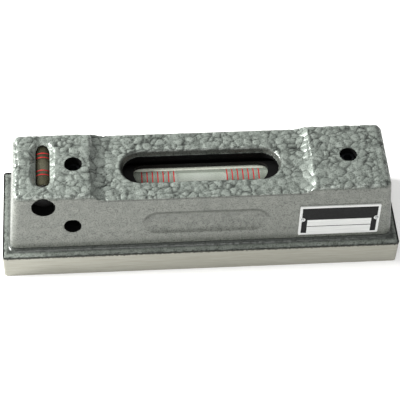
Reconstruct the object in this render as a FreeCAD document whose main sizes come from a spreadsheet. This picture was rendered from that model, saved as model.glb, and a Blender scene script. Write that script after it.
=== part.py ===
import FreeCAD, Part
import math
import os
import re
import Sketcher

# A precision machinist level with a cast iron body: a ground foot with a V-groove, a main vial in a
# carrier tube that tips on a ball, and a small cross vial. Millimetres, +Z up, +X along the level,
# origin at the middle of the sole. The front face looks towards -Y.

SIZES = {
    # Foot: the ground slab that the level stands on, and its ledge round the block.
    "foot_width": 42.0,
    "foot_height": 10.8,
    "foot_corner": 1.2,
    "ledge_end": 2.6,
    "ledge_side": 3.4,
    "groove_half_width": 10.0,
    "groove_flank_angle": 60.0,  # from the vertical, so the V opens by twice this
    "groove_relief_width": 1.6,
    "groove_relief_depth": 1.2,
    # Block: the drafted casting on the foot.
    "overall_height": 39.5,
    "end_draft": 3.0,
    "side_draft": 2.0,
    "end_wall": 6.55,
    "block_corner": 3.0,
    "block_edge_round": 2.4,
    "block_root_bevel": 0.8,
    # Deck: the sunk middle of the top, with a concave ramp at each end.
    "deck_drop": 2.7,
    "deck_margin": 5.4,
    "deck_ramp_radius": 7.3,
    # Main window: a tapered cast mouth, then a straight milled slot down to the bore.
    "window_reach": 1.1,
    "window_width": 15.4,
    "window_wall": 2.8,
    "window_taper": 0.9,
    "window_step": 0.25,
    "window_lip_bevel": 0.4,
    # Cross vial: bore from the front, and its bevelled window.
    "cross_wall": 1.35,
    "cross_depth": 5.6,
    "cross_bore_diameter": 8.5,
    "cross_back_wall": 2.4,
    "cross_window_length": 22.0,
    "cross_window_width": 9.4,
    "cross_window_shift": 0.4,
    "cross_bevel_run": 2.3,
    "cross_bevel_end_run": 1.7,
    "cross_bevel_depth": 1.9,
    # Screw holes, with their places along the carrier measured from the ends of its tube.
    "adjust_inset": 6.4,
    "lateral_inset": 7.3,
    "pivot_inset": 14.0,
    "lateral_drop": 1.1,
    "access_diameter": 6.3,
    "access_depth": 1.9,
    "thread_diameter": 5.9,
    "thread_gap": 0.1,
    # Finger recesses on the long sides.
    "recess_length": 47.6,
    "recess_height": 12.0,
    "recess_depth": 1.1,
    "recess_rise": 12.5,
    "recess_shift": 1.2,
    # Main vial, from the inside out.
    "vial_diameter": 11.6,
    "vial_length": 58.0,
    "vial_wall": 1.0,
    "vial_end_wall": 2.6,
    "vial_end_bevel": 1.8,
    "bed_thickness": 1.1,
    "bed_rise": 4.1,
    "carrier_wall": 1.4,
    "carrier_gap": 1.2,
    "carrier_window_inset": 3.7,
    "carrier_window_width": 10.4,
    "packing_length": 4.0,
    "spigot_length": 8.0,
    "head_length_left": 11.0,
    "head_length_right": 19.0,
    "head_end_gap": 1.0,
    "head_flat": 7.3,
    # Bubbles: their flat underside lies this far above the vial's axis.
    "bubble_length": 20.0,
    "bubble_floor": 3.0,
    "bubble_travel": 15.0,
    "bubble_gap": 0.1,
    "cross_bubble_length": 6.0,
    "cross_bubble_floor": 1.7,
    "cross_bubble_travel": 4.5,
    # Scale lines.
    "line_pitch": 2.0,
    "line_first": 10.0,
    "line_width": 0.42,
    "line_depth": 0.15,
    "line_sweep": 76.0,
    "long_line_sweep": 96.0,
    "cross_line_first": 3.1,
    "cross_line_sweep": 110.0,
    # Cross vial.
    "cross_vial_diameter": 7.4,
    "cross_vial_length": 22.0,
    "cross_vial_wall": 0.8,
    "cross_vial_end_wall": 1.6,
    "cross_vial_end_bevel": 1.2,
    "cross_bed_rise": 1.2,
    "plug_length": 3.0,
    # Screws, pad, ball and springs.
    "screw_length": 3.4,
    "lateral_screw_length": 5.0,
    "socket_width": 3.0,
    "socket_depth": 1.6,
    "slot_width": 1.0,
    "slot_depth": 1.2,
    "pad_diameter": 4.8,
    "pad_thickness": 1.2,
    "seat_gap": 0.1,
    "dog_diameter": 3.0,
    "dog_length": 1.6,
    "dog_side_gap": 0.35,
    "ball_diameter": 4.0,
    "ball_sink": 1.4,
    "ball_gap": 0.05,
    "spring_diameter": 5.6,
    "spring_hole": 2.6,
    "spring_thickness": 0.5,
    "spring_cone": 0.35,
    "spring_gap": 0.02,
    "spring_clearance": 0.6,
    "pocket_gap": 0.2,
    # Plug in the right end of the bore, and the clearance of pieces pressed or bedded in place.
    "end_plug_length": 4.0,
    "end_plug_depth": 1.2,
    "press_gap": 0.02,
    # Type plate and its rivets.
    "plate_length": 30.3,
    "plate_height": 15.3,
    "plate_thickness": 0.5,
    "plate_inset": 18.2,
    "plate_rise": 11.3,
    "plate_corner": 0.4,
    "rivet_diameter": 1.3,
    "rivet_head": 0.35,
    "rivet_depth": 2.0,
    "rivet_spacing": 28.0,
    "rivet_rise": 0.7,
}

NODES_FOLDER = "parts"
SPRING_COUNT = 4
START, END, CENTRE = 1, 2, 3
TOUCH = 1e-3

# Sizes that follow from others: the level is laid out from its vial outwards.
WORKED_OUT = {
    "bore_radius": "vial_diameter / 2 + bed_thickness + carrier_wall + carrier_gap",
    "tube_half": "vial_length / 2 + packing_length + spigot_length",
    "adjust_x": "tube_half + adjust_inset",
    "lateral_x": "tube_half + lateral_inset",
    "pivot_x": "tube_half + pivot_inset",
    "bore_left_end": "tube_half + head_length_left + head_end_gap",
    "cross_x": "bore_left_end + cross_wall + cross_bore_diameter / 2",
    "block_top_length": "2 * (cross_x + cross_bore_diameter / 2 + end_wall)",
    "block_base_length": "block_top_length + 2 * end_draft",
    "foot_length": "block_base_length + 2 * ledge_end",
    "block_base_width": "foot_width - 2 * ledge_side",
    "block_top_width": "block_base_width - 2 * side_draft",
    "deck_height": "overall_height - deck_drop",
    "window_length": "vial_length + 2 * window_reach",
    "carrier_window_length": "vial_length - 2 * carrier_window_inset",
    "deck_half_length": "window_length / 2 + deck_margin",
    "bore_height": "deck_height - window_wall - bore_radius",
    "lateral_height": "bore_height - lateral_drop",
    "cross_height": "overall_height - cross_depth",
    "cross_bore_back": "block_top_width / 2 - cross_back_wall",
    "recess_level": "foot_height + recess_rise",
    "plate_x": "block_top_length / 2 - plate_inset",
    "plate_level": "foot_height + plate_rise",
}

doc = FreeCAD.newDocument("machinist_level")
sheet = doc.addObject("Spreadsheet::Sheet", "sizes")
CELLS = {**SIZES, **{alias: f"={formula}" for alias, formula in WORKED_OUT.items()}}
for row, (alias, content) in enumerate(CELLS.items(), start=1):
    sheet.set(f"A{row}", alias)
    sheet.set(f"B{row}", str(content))
    sheet.setAlias(f"B{row}", alias)
doc.recompute()


# Worked-out sizes, as expressions over the sheet.
VIAL_R = "(vial_diameter / 2)"
VIAL_INNER_R = f"({VIAL_R} - vial_wall)"
CARRIER_INNER_R = f"({VIAL_R} + bed_thickness)"
CARRIER_R = f"({CARRIER_INNER_R} + carrier_wall)"
DRAFT_RISE = "(overall_height - foot_height)"
FACE_LEAN = f"((block_base_width - block_top_width) / 2 / {DRAFT_RISE})"
END_LEAN = f"((block_base_length - block_top_length) / 2 / {DRAFT_RISE})"
CROSS_VIAL_R = "(cross_vial_diameter / 2)"
CROSS_VIAL_INNER_R = f"({CROSS_VIAL_R} - cross_vial_wall)"
CROSS_VIAL_MIDDLE = "(cross_bore_back - cross_vial_length / 2 - press_gap)"
THREAD_HOLE = "(thread_diameter + 2 * thread_gap)"
BORE_CEILING = "(bore_height + bore_radius)"
PAD_BOTTOM = "(bore_height + head_flat + seat_gap)"
SPRING_FLOOR = ("(bore_height - head_flat - spring_clearance"
                f" - {SPRING_COUNT} * (spring_thickness + spring_cone + spring_gap))")
BALL_HEIGHT = f"(bore_height - {CARRIER_R} + ball_sink - ball_diameter / 2)"
PIVOT_SEAT = f"(bore_height + {CARRIER_R} - dog_length)"


def full(expression):
    """The expression with every sheet name written out in full, so foot_length is sizes.foot_length."""
    def spell(word):
        return f"sizes.{word.group()}" if word.group() in CELLS else word.group()
    return re.sub(r"[a-z][a-z_]*", spell, str(expression))


def value(expression):
    """The number that an expression over the sheet comes to."""
    return float(sheet.evalExpression(full(expression)))


def bind(target, path, expression):
    """Tie one property of an object to the sheet."""
    target.setExpression(path, full(expression))


def new_body(label):
    """One sub-part: a PartDesign body whose label is its node's name."""
    body = doc.addObject("PartDesign::Body", label)
    body.Label = label
    return body


def new_sketch(body, name, role, along=0, across=0, lift=0):
    """A sketch on one of the body's own origin planes, shifted along the plane's axes and normal."""
    plane = next(part for part in body.Origin.OriginFeatures if part.Role == role)
    sketch = body.newObject("Sketcher::SketchObject", name)
    sketch.AttachmentSupport = (plane, [""])
    sketch.MapMode = "FlatFace"
    for axis, shift in zip("xyz", (along, across, lift)):
        bind(sketch, f"AttachmentOffset.Base.{axis}", shift)
    return sketch


def face_level(level):
    """How far a long side of the block stands from the middle plane at a given height."""
    return f"(block_base_width / 2 - {FACE_LEAN} * ({level} - foot_height))"


def new_face_sketch(body, name, along, level, depth=0, side=1):
    """A sketch on the block's leaning front (side 1) or rear (side -1), some depth inside it."""
    lift = f"{side} * ({face_level(level)} - {depth})"
    sketch = new_sketch(body, name, "XZ_Plane", along=along, across=level, lift=lift)
    lean = FreeCAD.Rotation(FreeCAD.Vector(-side, 0, 0), 1)
    sketch.AttachmentOffset = FreeCAD.Placement(sketch.AttachmentOffset.Base, lean)
    bind(sketch, "AttachmentOffset.Rotation.Angle", f"atan({FACE_LEAN})")
    return sketch


def dimension(sketch, kind, picks, expression):
    """One dimension of a sketch, tied to the sheet."""
    index = sketch.addConstraint(Sketcher.Constraint(kind, *picks, value(expression)))
    sketch.renameConstraint(index, f"size_{index}")
    bind(sketch, f"Constraints.size_{index}", expression)


def place_point(sketch, shape, point, spot):
    """Fix one point of a sketch shape at (x, y), both given as expressions."""
    dimension(sketch, "DistanceX", (-1, 1, shape, point), spot[0])
    dimension(sketch, "DistanceY", (-1, 1, shape, point), spot[1])


def draw_polygon(sketch, corners):
    """A closed outline of straight lines through corners given as pairs of expressions."""
    spots = [FreeCAD.Vector(value(x), value(y), 0) for x, y in corners]
    first = sketch.GeometryCount
    count = len(corners)
    for index, spot in enumerate(spots):
        sketch.addGeometry(Part.LineSegment(spot, spots[(index + 1) % count]), False)
    for index, corner in enumerate(corners):
        line = first + index
        before = first + (index - 1) % count
        sketch.addConstraint(Sketcher.Constraint("Coincident", before, END, line, START))
        place_point(sketch, line, START, corner)


def draw_round_outline(sketch, centres, radius):
    """A closed outline of equal arcs round the centres, listed anticlockwise, and the lines between."""
    spots = [FreeCAD.Vector(value(x), value(y), 0) for x, y in centres]
    reach = value(radius)
    count = len(spots)
    first = sketch.GeometryCount
    headings = []
    for index, spot in enumerate(spots):
        run = spots[(index + 1) % count] - spot
        headings.append(math.atan2(run.y, run.x))
    for index, spot in enumerate(spots):
        start = headings[index - 1] - math.pi / 2
        end = headings[index] - math.pi / 2
        while end <= start:
            end += 2 * math.pi
        circle = Part.Circle(spot, FreeCAD.Vector(0, 0, 1), reach)
        sketch.addGeometry(Part.ArcOfCircle(circle, start, end), False)
    for index, heading in enumerate(headings):
        side = FreeCAD.Vector(math.sin(heading), -math.cos(heading), 0) * reach
        line = Part.LineSegment(spots[index] + side, spots[(index + 1) % count] + side)
        sketch.addGeometry(line, False)
    for index, centre in enumerate(centres):
        arc = first + index
        line = first + count + index
        next_arc = first + (index + 1) % count
        place_point(sketch, arc, CENTRE, centre)
        sketch.addConstraint(Sketcher.Constraint("Tangent", arc, END, line, START))
        sketch.addConstraint(Sketcher.Constraint("Tangent", line, END, next_arc, START))
    dimension(sketch, "Radius", (first,), radius)
    for index in range(1, count):
        sketch.addConstraint(Sketcher.Constraint("Equal", first, first + index))


def draw_rounded_rectangle(sketch, length, width, corner):
    """A rounded rectangle centred on the sketch's origin."""
    x = f"({length}) / 2 - {corner}"
    y = f"({width}) / 2 - {corner}"
    centres = [(f"-({x})", f"-({y})"), (x, f"-({y})"), (x, y), (f"-({x})", y)]
    draw_round_outline(sketch, centres, corner)


def draw_obround(sketch, length, width, upright=False):
    """An obround centred on the sketch's origin, long along the sketch's x axis unless upright."""
    reach = f"(({length}) - ({width})) / 2"
    centres = [(f"-({reach})", "0"), (reach, "0")]
    if upright:
        centres = [("0", f"-({reach})"), ("0", reach)]
    draw_round_outline(sketch, centres, f"({width}) / 2")


def draw_circle(sketch, radius, centre=("0", "0")):
    """A circle round the sketch's origin, or round a spot given as a pair of expressions."""
    spot = FreeCAD.Vector(value(centre[0]), value(centre[1]), 0)
    index = sketch.addGeometry(Part.Circle(spot, FreeCAD.Vector(0, 0, 1), value(radius)), False)
    place_point(sketch, index, CENTRE, centre)
    dimension(sketch, "Radius", (index,), radius)


def draw_rectangle(sketch, low, high):
    """A rectangle between two opposite corners given as pairs of expressions."""
    draw_polygon(sketch, [low, (high[0], low[1]), high, (low[0], high[1])])


def extrude(body, kind, sketch, length, reverse=False, middle=False):
    """A Pad or Pocket of a sketch, along its normal, against it, or half each way."""
    feature = body.newObject(f"PartDesign::{kind}", f"{sketch.Name}_{kind}")
    feature.Profile = sketch
    feature.Reversed = reverse
    if middle:
        feature.SideType = "Symmetric"
    bind(feature, "Length", length)
    return feature


def loft(body, kind, sketches, ruled=True):
    """An additive or subtractive loft through sketches of the same outline."""
    feature = body.newObject(f"PartDesign::{kind}Loft", f"{sketches[0].Name}_loft")
    feature.Profile = sketches[0]
    feature.Sections = sketches[1:]
    feature.Ruled = ruled
    return feature


def turn(body, kind, sketch, axis="H_Axis", sweep=360, middle=False):
    """A Revolution or Groove of a sketch round one of its own axes."""
    feature = body.newObject(f"PartDesign::{kind}", f"{sketch.Name}_{kind}")
    feature.Profile = sketch
    feature.ReferenceAxis = (sketch, [axis])
    feature.Midplane = middle
    bind(feature, "Angle", sweep)
    return feature


def must_cut(body, feature):
    """Stop if a cut left the body as large as it was."""
    doc.recompute()
    before = feature.BaseFeature.Shape.Volume
    if body.Shape.Volume > before - 1e-6:
        raise ValueError(f"{feature.Name} cut nothing from {body.Label}")
    return feature


def edges_where(shape, test):
    """Names of the edges whose every point passes a test."""
    names = []
    for index, edge in enumerate(shape.Edges, start=1):
        if all(test(point) for point in edge.discretize(5)):
            names.append(f"Edge{index}")
    return names


def ease_edges(body, name, kind, size, test):
    """A Fillet or Chamfer on the edges of the body so far whose points pass a test."""
    doc.recompute()
    base = body.Tip
    eased = body.newObject(f"PartDesign::{kind}", name)
    eased.Base = (base, edges_where(base.Shape, test))
    bind(eased, "Radius" if kind == "Fillet" else "Size", size)


def is_at(height):
    """A test for points at one height."""
    return lambda point: abs(point.z - height) < TOUCH


def place(body, x=0, y=0, z=0):
    """Put a body modelled round its own origin where it belongs in the level."""
    for axis, shift in zip("xyz", (x, y, z)):
        bind(body, f"Placement.Base.{axis}", shift)


# ---------------------------------------------------------------- casting


def make_foot(body):
    """The slab that carries the block: sharp ground sides with barely broken corners."""
    outline = new_sketch(body, "foot_outline", "XY_Plane")
    draw_rounded_rectangle(outline, "foot_length", "foot_width", "foot_corner")
    extrude(body, "Pad", outline, "foot_height")


def make_block(body):
    """The block above the foot, drafted on all four sides, with a flared root and rounded top edges."""
    root = new_sketch(body, "block_root", "XY_Plane", lift="foot_height")
    draw_rounded_rectangle(root, "block_base_length + 2 * block_root_bevel",
                           "block_base_width + 2 * block_root_bevel",
                           "(block_corner + block_root_bevel)")
    base = new_sketch(body, "block_base", "XY_Plane", lift="foot_height + block_root_bevel")
    draw_rounded_rectangle(base, f"block_base_length - 2 * {END_LEAN} * block_root_bevel",
                           f"block_base_width - 2 * {FACE_LEAN} * block_root_bevel", "block_corner")
    top = new_sketch(body, "block_top", "XY_Plane", lift="overall_height")
    draw_rounded_rectangle(top, "block_top_length", "block_top_width", "block_corner")
    loft(body, "Additive", [root, base, top])
    ease_edges(body, "block_edges", "Fillet", "block_edge_round", is_at(value("overall_height")))


def cut_deck(body):
    """The sunk deck between the raised ends: a flat with a concave arc up to each end block."""
    sketch = new_sketch(body, "deck_profile", "XZ_Plane")
    flat = value("deck_half_length")
    floor = value("deck_height")
    radius = value("deck_ramp_radius")
    above = value("overall_height") + radius
    up = FreeCAD.Vector(0, 0, 1)
    for side in (1, -1):
        centre = FreeCAD.Vector(side * flat, floor + radius, 0)
        start, end = (-math.pi / 2, 0) if side > 0 else (-math.pi, -math.pi / 2)
        sketch.addGeometry(Part.ArcOfCircle(Part.Circle(centre, up, radius), start, end), False)
    far = flat + radius
    corners = [(-flat, floor), (flat, floor), (far, floor + radius), (far, above),
               (-far, above), (-far, floor + radius)]
    spots = [FreeCAD.Vector(x, y, 0) for x, y in corners]
    for first, last in ((0, 1), (2, 3), (3, 4), (4, 5)):
        sketch.addGeometry(Part.LineSegment(spots[first], spots[last]), False)
    right, left, deck, right_wall, lid, left_wall = range(6)
    joins = [("Tangent", deck, END, right, START), ("Tangent", left, END, deck, START),
             ("Tangent", right, END, right_wall, START), ("Coincident", right_wall, END, lid, START),
             ("Coincident", lid, END, left_wall, START), ("Tangent", left_wall, END, left, START),
             ("Equal", right, left), ("Horizontal", lid)]
    for join in joins:
        sketch.addConstraint(Sketcher.Constraint(*join))
    centre_height = f"deck_height + deck_ramp_radius"
    place_point(sketch, right, CENTRE, ("deck_half_length", centre_height))
    place_point(sketch, left, CENTRE, ("-deck_half_length", centre_height))
    dimension(sketch, "Radius", (right,), "deck_ramp_radius")
    dimension(sketch, "DistanceY", (-1, 1, lid, START), "overall_height + deck_ramp_radius")
    must_cut(body, extrude(body, "Pocket", sketch, "2 * foot_width", middle=True))


def cut_main_window(body):
    """The long window: a tapered cast mouth, a fine step, then a straight slot into the bore."""
    mouth = new_sketch(body, "window_mouth", "XY_Plane", lift="deck_height")
    draw_obround(mouth, "window_length", "window_width")
    neck_height = f"(deck_height - window_wall)"
    neck_length = "window_length - 2 * window_taper"
    neck_width = "window_width - 2 * window_taper"
    neck = new_sketch(body, "window_neck", "XY_Plane", lift=neck_height)
    draw_obround(neck, neck_length, neck_width)
    must_cut(body, loft(body, "Subtractive", [mouth, neck]))
    slot = new_sketch(body, "window_slot", "XY_Plane", lift=neck_height)
    draw_obround(slot, f"{neck_length} - 2 * window_step", f"{neck_width} - 2 * window_step")
    must_cut(body, extrude(body, "Pocket", slot, f"{neck_height} - bore_height"))
    on_deck = is_at(value("deck_height"))
    half_length = value("window_length") / 2 + TOUCH
    half_width = value("window_width") / 2 + TOUCH

    def is_lip(point):
        return on_deck(point) and abs(point.x) < half_length and abs(point.y) < half_width
    ease_edges(body, "window_lip", "Chamfer", "window_lip_bevel", is_lip)


def cut_carrier_bore(body):
    """The long bore for the vial carrier, drilled from the right end and blind at the left."""
    circle = new_sketch(body, "carrier_bore", "YZ_Plane", across="bore_height", lift="foot_length / 2")
    draw_circle(circle, "bore_radius")
    must_cut(body, extrude(body, "Pocket", circle, "foot_length / 2 + bore_left_end"))


def cut_cross_vial_seat(body):
    """The cross vial's blind bore from the front, and the bevelled window above it."""
    circle = new_sketch(body, "cross_bore", "XZ_Plane", along="-cross_x", across="cross_height",
                        lift="foot_width / 2")
    draw_circle(circle, "cross_bore_diameter / 2")
    must_cut(body, extrude(body, "Pocket", circle, "foot_width / 2 + cross_bore_back"))
    spot = {"along": "-cross_x", "across": "cross_window_shift"}
    mouth = new_sketch(body, "cross_mouth", "XY_Plane", lift="overall_height", **spot)
    draw_obround(mouth, "cross_window_length", "cross_window_width", upright=True)
    throat_height = "(overall_height - cross_bevel_depth)"
    throat_length = "cross_window_length - 2 * cross_bevel_end_run"
    throat_width = "cross_window_width - 2 * cross_bevel_run"
    throat = new_sketch(body, "cross_throat", "XY_Plane", lift=throat_height, **spot)
    draw_obround(throat, throat_length, throat_width, upright=True)
    must_cut(body, loft(body, "Subtractive", [mouth, throat]))
    slot = new_sketch(body, "cross_slot", "XY_Plane", lift=throat_height, **spot)
    draw_obround(slot, throat_length, throat_width, upright=True)
    must_cut(body, extrude(body, "Pocket", slot, f"{throat_height} - cross_height"))


def cut_screw_holes(body):
    """Threaded holes for the adjusting, pivot and lateral screws, each with a wider mouth."""
    shaft = "overall_height - bore_height"
    for name, x in (("adjust", "-adjust_x"), ("pivot", "pivot_x")):
        thread = new_sketch(body, f"{name}_thread", "XY_Plane", along=x, lift="overall_height")
        draw_circle(thread, f"{THREAD_HOLE} / 2")
        must_cut(body, extrude(body, "Pocket", thread, shaft))
    mouth = new_sketch(body, "adjust_mouth", "XY_Plane", along="-adjust_x", lift="overall_height")
    draw_circle(mouth, "access_diameter / 2")
    must_cut(body, extrude(body, "Pocket", mouth, "access_depth"))
    spot = {"along": "-lateral_x", "across": "lateral_height"}
    cross = new_sketch(body, "lateral_thread", "XZ_Plane", **spot)
    draw_circle(cross, f"{THREAD_HOLE} / 2")
    must_cut(body, extrude(body, "Pocket", cross, "2 * foot_width", middle=True))
    face = face_level("lateral_height")
    for name, lift, reverse in (("front", f"{face} - access_depth", True),
                                ("rear", f"access_depth - {face}", False)):
        ring = new_sketch(body, f"{name}_lateral_mouth", "XZ_Plane", lift=lift, **spot)
        draw_circle(ring, "access_diameter / 2")
        must_cut(body, extrude(body, "Pocket", ring, "foot_width / 2", reverse=reverse))


def cut_seats(body):
    """Pockets in the floor of the bore: one for the disc springs, one for the pivot ball."""
    spring = new_sketch(body, "spring_pocket", "XY_Plane", along="-adjust_x", lift=SPRING_FLOOR)
    draw_circle(spring, "spring_diameter / 2 + pocket_gap")
    must_cut(body, extrude(body, "Pocket", spring, f"bore_height - {SPRING_FLOOR}", reverse=True))
    floor = f"({BALL_HEIGHT} - ball_diameter / 2)"
    ball = new_sketch(body, "ball_pocket", "XY_Plane", along="pivot_x", lift=floor)
    draw_circle(ball, "ball_diameter / 2 + ball_gap")
    must_cut(body, extrude(body, "Pocket", ball, f"bore_height - {floor}", reverse=True))


def cut_finger_recesses(body):
    """A shallow dished oval in each long side, following the leaning face."""
    steps = ((0.0, 1.0, 1.0), (0.6, 0.93, 0.76), (0.9, 0.84, 0.5), (1.0, 0.7, 0.22))
    for name, side in (("front", 1), ("rear", -1)):
        rings = []
        for index, (depth, length, height) in enumerate(steps):
            ring = new_face_sketch(body, f"{name}_recess_{index}", "recess_shift", "recess_level",
                                   depth=f"{depth} * recess_depth", side=side)
            draw_obround(ring, f"{length} * recess_length", f"{height} * recess_height")
            rings.append(ring)
        must_cut(body, loft(body, "Subtractive", rings, ruled=False))


def cut_groove(body):
    """The V-groove along the sole, with a relief slot at its root."""
    section = new_sketch(body, "groove_section", "YZ_Plane")
    relief = "groove_relief_width / 2"
    depth = "groove_half_width / tan(groove_flank_angle * 1 deg)"
    flank_end = f"({depth}) - ({relief}) / tan(groove_flank_angle * 1 deg)"
    root = f"{flank_end} + groove_relief_depth"
    corners = [("-groove_half_width", "0"), ("groove_half_width", "0"), (relief, flank_end),
               (relief, root), (f"-{relief}", root), (f"-{relief}", flank_end)]
    draw_polygon(section, corners)
    must_cut(body, extrude(body, "Pocket", section, "2 * foot_length", middle=True))


def draw_rivet_circles(sketch, radius):
    """Two circles at the rivets, on a sketch centred on the type plate."""
    for side in (-1, 1):
        draw_circle(sketch, radius, (f"{side} * rivet_spacing / 2", "rivet_rise"))


def cut_rivet_holes(body):
    """Two blind holes for the type plate's rivets, square to the leaning face."""
    holes = new_face_sketch(body, "rivet_holes", "plate_x", "plate_level")
    draw_rivet_circles(holes, "rivet_diameter / 2")
    must_cut(body, extrude(body, "Pocket", holes, "rivet_depth"))


def make_body_casting():
    """The one-piece casting that everything else is fitted into."""
    body = new_body("body_casting")
    make_foot(body)
    make_block(body)
    cut_deck(body)
    cut_main_window(body)
    cut_carrier_bore(body)
    cut_cross_vial_seat(body)
    cut_screw_holes(body)
    cut_seats(body)
    cut_finger_recesses(body)
    cut_groove(body)
    cut_rivet_holes(body)
    return body


# ---------------------------------------------------------------- main vial and its carrier


def ring_along_bore(body, outer, inner, length):
    """A ring round the carrier's axis, centred on the level's middle."""
    section = new_sketch(body, f"{body.Label}_section", "YZ_Plane", across="bore_height")
    draw_circle(section, outer)
    draw_circle(section, inner)
    extrude(body, "Pad", section, length, middle=True)


def draw_lines(sketch, positions, low, high):
    """One small rectangle for each scale line, from one radius to another."""
    for position in positions:
        left = f"{position} - line_width / 2"
        right = f"{position} + line_width / 2"
        draw_rectangle(sketch, (left, low), (right, high))


LINE_COUNT = 7
LONG_LINE = 3


def scale_positions(wanted):
    """Places along the vial of the lines on both sides whose number passes a test."""
    numbers = [number for number in range(LINE_COUNT) if wanted(number)]
    return [f"{side} * (line_first + {number} * line_pitch)" for side in (-1, 1) for number in numbers]


def turn_scale(body, kind, high):
    """The main vial's lines, as grooves or as what fills them, swept over the top of the glass."""
    low = f"{VIAL_R} - line_depth"
    groups = (("short", "line_sweep", lambda number: number != LONG_LINE),
              ("long", "long_line_sweep", lambda number: number == LONG_LINE))
    for name, sweep, wanted in groups:
        sketch = new_sketch(body, f"{body.Label}_{name}_lines", "XZ_Plane", across="bore_height")
        draw_lines(sketch, scale_positions(wanted), low, high)
        turn(body, kind, sketch, sweep=sweep, middle=True)


def make_main_vial_glass():
    """The ground glass tube, sealed at both ends, with shallow grooves for the scale lines."""
    body = new_body("main_vial_glass")
    end = "vial_length / 2"
    outside = new_sketch(body, "vial_outside", "XZ_Plane", across="bore_height")
    draw_rectangle(outside, (f"-{end}", "0"), (end, VIAL_R))
    turn(body, "Revolution", outside)
    tip = value(end) - TOUCH
    ease_edges(body, "vial_ends", "Chamfer", "vial_end_bevel", lambda point: abs(point.x) > tip)
    hollow = new_sketch(body, "vial_hollow", "XZ_Plane", across="bore_height")
    hollow_end = f"({end} - vial_end_wall)"
    draw_rectangle(hollow, (f"-{hollow_end}", "0"), (hollow_end, VIAL_INNER_R))
    must_cut(body, turn(body, "Groove", hollow))
    turn_scale(body, "Groove", f"{VIAL_R} + line_depth")


def make_main_vial_scale():
    """Red enamel in the grooves: seven lines each side, the middle one of each seven longer."""
    body = new_body("main_vial_scale")
    body.AllowCompound = True
    turn_scale(body, "Revolution", VIAL_R)


def cut_bubble_channel(body, floor, length, width, upright, **spot):
    """The room that a bubble runs in, along the top of the liquid."""
    sketch = new_sketch(body, f"{body.Label}_channel", "XY_Plane", lift=floor, **spot)
    draw_obround(sketch, length, width, upright)
    must_cut(body, extrude(body, "Pocket", sketch, VIAL_R, reverse=True))


def bubble_width(radius, floor):
    """Width of the flat underside of a bubble pressed against the top of its tube."""
    return f"(2 * sqrt(pow({radius}; 2) - pow({floor}; 2)))"


def make_main_vial_liquid():
    """Spirit that fills the vial, apart from the channel for the bubble."""
    body = new_body("main_vial_liquid")
    end = "(vial_length / 2 - vial_end_wall - press_gap)"
    radius = f"({VIAL_INNER_R} - press_gap)"
    section = new_sketch(body, "liquid_section", "XZ_Plane", across="bore_height")
    draw_rectangle(section, (f"-{end}", "0"), (end, radius))
    turn(body, "Revolution", section)
    length = "bubble_length + 2 * bubble_travel + 2 * bubble_gap"
    width = f"{bubble_width(VIAL_INNER_R, 'bubble_floor')} + 2 * bubble_gap"
    floor = "bore_height + bubble_floor - bubble_gap"
    cut_bubble_channel(body, floor, length, width, upright=False)


def make_bubble(label, length, radius, floor, height, upright, **spot):
    """A bubble: flat below, rounded above like the tube, and obround from the top."""
    body = new_body(label)
    plan = new_sketch(body, f"{label}_plan", "XY_Plane", lift=f"{height} + {floor}", **spot)
    draw_obround(plan, length, bubble_width(radius, floor), upright)
    extrude(body, "Pad", plan, radius)
    reach = f"(2 * {radius})"
    if upright:
        tube = new_sketch(body, f"{label}_tube", "XZ_Plane", along=spot["along"], across=height)
    else:
        tube = new_sketch(body, f"{label}_tube", "YZ_Plane", across=height)
    draw_circle(tube, radius)
    draw_rectangle(tube, (f"-{reach}", f"-{reach}"), (reach, reach))
    must_cut(body, extrude(body, "Pocket", tube, "foot_length", middle=True))


def make_main_vial_bed():
    """Plaster between the vial and its tube: a trough that leaves the top of the glass free."""
    body = new_body("main_vial_bed")
    outer = f"({CARRIER_INNER_R} - press_gap)"
    ring_along_bore(body, outer, f"{VIAL_R} + press_gap", "vial_length")
    top = new_sketch(body, "bed_top", "YZ_Plane", across="bore_height")
    draw_rectangle(top, (f"-{outer}", "bed_rise"), (outer, CARRIER_R))
    must_cut(body, extrude(body, "Pocket", top, "2 * vial_length", middle=True))


def make_carrier_tube():
    """The black tube round the vial, with an obround window in its top."""
    body = new_body("carrier_tube")
    ring_along_bore(body, CARRIER_R, CARRIER_INNER_R, f"2 * tube_half")
    window = new_sketch(body, "carrier_window", "XY_Plane", lift="bore_height")
    draw_obround(window, "carrier_window_length", "carrier_window_width")
    must_cut(body, extrude(body, "Pocket", window, CARRIER_R, reverse=True))


def make_vial_packings():
    """Plaster stops that fill the tube at both ends of the vial."""
    for name, start in (("left", "-(vial_length / 2 + packing_length) + press_gap"),
                        ("right", "vial_length / 2 + press_gap")):
        body = new_body(f"{name}_vial_packing")
        disc = new_sketch(body, f"{name}_packing_disc", "YZ_Plane", across="bore_height", lift=start)
        draw_circle(disc, f"{CARRIER_INNER_R} - press_gap")
        extrude(body, "Pad", disc, "packing_length - 2 * press_gap")


def turn_head(body, side, length):
    """A turned head: a spigot pressed into the tube and a flange of the tube's own diameter."""
    spigot = f"{side} * (tube_half - spigot_length + press_gap)"
    shoulder = f"{side} * tube_half"
    end = f"{side} * (tube_half + {length})"
    spigot_radius = f"{CARRIER_INNER_R} - press_gap"
    section = new_sketch(body, f"{body.Label}_section", "XZ_Plane", across="bore_height")
    corners = [(spigot, "0"), (spigot, spigot_radius), (shoulder, spigot_radius),
               (shoulder, CARRIER_R), (end, CARRIER_R), (end, "0")]
    draw_polygon(section, corners)
    turn(body, "Revolution", section)


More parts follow.
